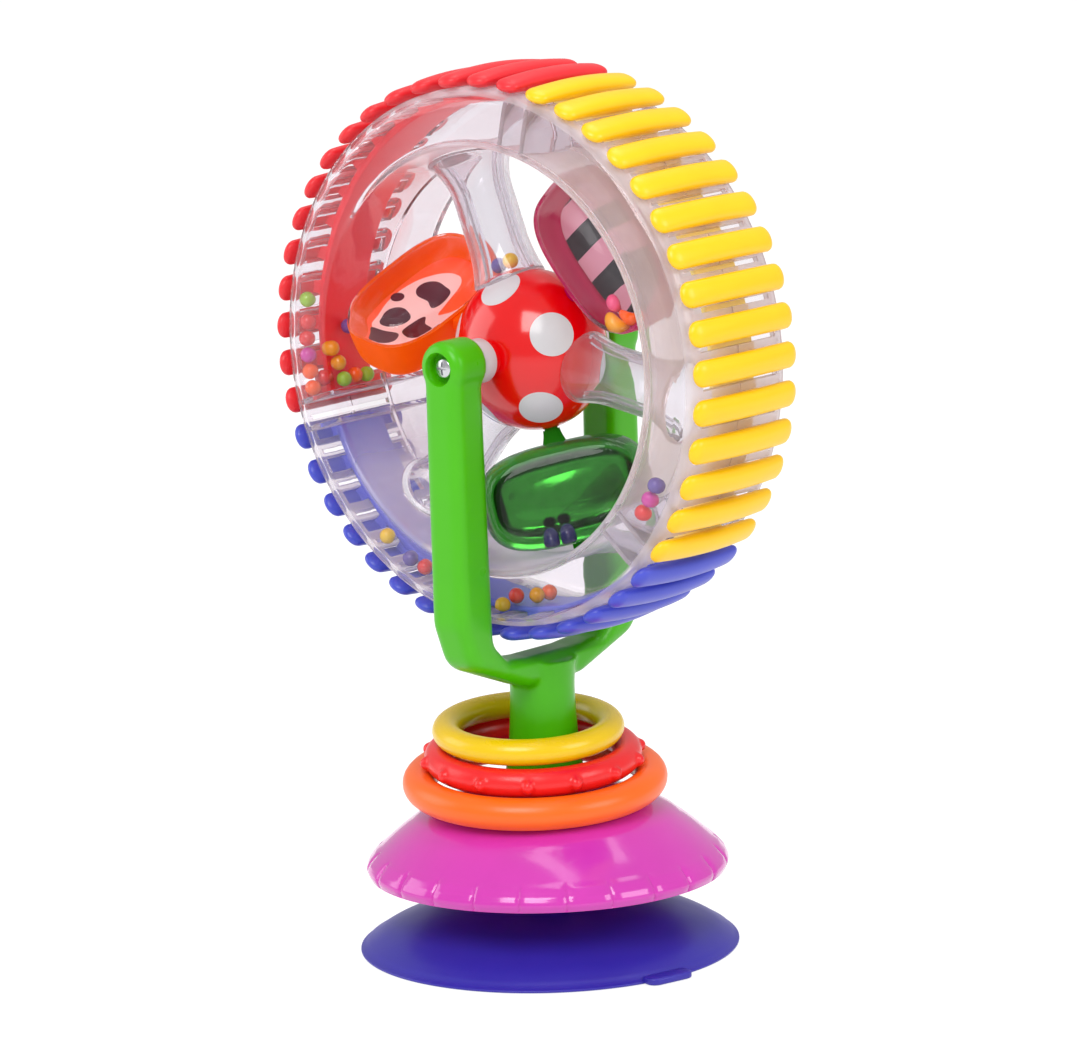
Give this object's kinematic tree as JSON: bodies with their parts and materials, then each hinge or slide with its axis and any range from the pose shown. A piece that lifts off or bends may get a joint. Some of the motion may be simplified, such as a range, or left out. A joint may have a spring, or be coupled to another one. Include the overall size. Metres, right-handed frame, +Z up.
{
  "type": "spinning wheel toy on a suction cup",
  "caption": "Table-top spinning wheel toy: a clear hollow wheel with coloured ribs, rattling beads and turning pods, on a fork over loose rings, a dome and a suction cup.",
  "frame": {"origin": "centre of the suction cup's rim on the table, on the stem's axis", "axes": "+Z up the stem to the wheel, +Y along the axle, away from the front arm, +X across the wheel"},
  "size_m": [0.1702, 0.1134, 0.2656],
  "materials": {
    "cup_blue": "satin",
    "dome_magenta": "gloss",
    "plastic_orange": "gloss",
    "plastic_red": "gloss",
    "plastic_yellow": "gloss",
    "plastic_blue": "gloss",
    "plastic_green": "gloss",
    "plastic_lime": "gloss",
    "plastic_amber": "gloss",
    "plastic_magenta": "gloss",
    "plastic_pink": "gloss",
    "plastic_purple": "gloss",
    "plastic_navy": "gloss",
    "clear": "gloss",
    "tint_magenta": "gloss",
    "tint_green": "gloss",
    "tint_orange": "gloss",
    "steel": "satin",
    "card": "matte",
    "mirror": "gloss"
  },
  "bodies": {
    "base": {"suction_cup": "cup_blue", "base_dome": "dome_magenta", "stem_screw": "steel", "fork": "plastic_green", "axle_rod": "steel", "axle_screw_front": "steel", "axle_screw_rear": "steel"},
    "orange_ring_body": {"orange_ring": "plastic_orange"},
    "red_ring_body": {"red_ring": "plastic_red"},
    "yellow_ring_body": {"yellow_ring": "plastic_yellow"},
    "wheel": {"wheel_rear_shell": "clear", "wheel_front_shell": "clear", "top_spoke": "clear", "right_spoke": "clear", "lower_spoke": "clear", "hub_rear_shell": "plastic_red", "hub_front_shell": "plastic_red", "yellow_tread": "plastic_yellow", "blue_tread": "plastic_blue", "red_tread": "plastic_red", "red_sector_bead_1": "plastic_orange", "red_sector_bead_2": "plastic_orange", "red_sector_bead_3": "plastic_magenta", "red_sector_bead_4": "plastic_red", "red_sector_bead_5": "plastic_red", "red_sector_bead_6": "plastic_lime", "red_sector_bead_7": "plastic_red", "red_sector_bead_8": "plastic_amber", "red_sector_bead_9": "plastic_amber", "red_sector_bead_10": "plastic_lime", "red_sector_bead_11": "plastic_orange", "red_sector_bead_12": "plastic_lime", "red_sector_bead_13": "plastic_purple", "blue_sector_bead_1": "plastic_yellow", "blue_sector_bead_2": "plastic_purple", "blue_sector_bead_3": "plastic_red", "blue_sector_bead_4": "plastic_yellow", "blue_sector_bead_5": "plastic_red", "blue_sector_bead_6": "plastic_amber", "blue_sector_bead_7": "plastic_orange", "yellow_sector_bead_1": "plastic_red", "yellow_sector_bead_2": "plastic_magenta", "yellow_sector_bead_3": "plastic_purple", "spoke_bead_1": "plastic_yellow", "spoke_bead_2": "plastic_purple"},
    "magenta_pod": {"magenta_pod_tray": "tint_magenta", "magenta_pod_lens": "clear", "magenta_pod_insert": "card", "magenta_pod_bead_1": "plastic_amber", "magenta_pod_bead_2": "plastic_orange", "magenta_pod_bead_3": "plastic_pink"},
    "green_pod": {"green_pod_tray": "tint_green", "green_pod_lens": "clear", "green_pod_insert": "mirror", "green_pod_bead_1": "plastic_navy", "green_pod_bead_2": "plastic_navy"},
    "orange_pod": {"orange_pod_tray": "tint_orange", "orange_pod_lens": "clear", "orange_pod_insert": "card"}
  },
  "joints": [
    {"name": "wheel_spin", "type": "hinge", "parent": "base", "child": "wheel", "pos_m": [0, 0, 0.1805], "axis": [0, 1, 0], "continuous": true},
    {"name": "magenta_pod_spin", "type": "hinge", "parent": "wheel", "child": "magenta_pod", "pos_m": [0.03004, 0, 0.21182], "axis": [0.6921, 0, 0.7218], "continuous": true},
    {"name": "green_pod_spin", "type": "hinge", "parent": "wheel", "child": "green_pod", "pos_m": [0.01211, 0, 0.13883], "axis": [0.279, 0, -0.9603], "continuous": true},
    {"name": "orange_pod_spin", "type": "hinge", "parent": "wheel", "child": "orange_pod", "pos_m": [-0.04215, 0, 0.19085], "axis": [-0.9711, 0, 0.2385], "continuous": true},
    {"name": "orange_ring_lift", "type": "slide", "parent": "base", "child": "orange_ring_body", "axis": [0, 0, 1], "range_m": [0, 0.0038]},
    {"name": "red_ring_lift", "type": "slide", "parent": "orange_ring_body", "child": "red_ring_body", "axis": [0, 0, 1], "range_m": [0, 0.0038]},
    {"name": "yellow_ring_lift", "type": "slide", "parent": "red_ring_body", "child": "yellow_ring_body", "axis": [0, 0, 1], "range_m": [0, 0.0038]}
  ]
}
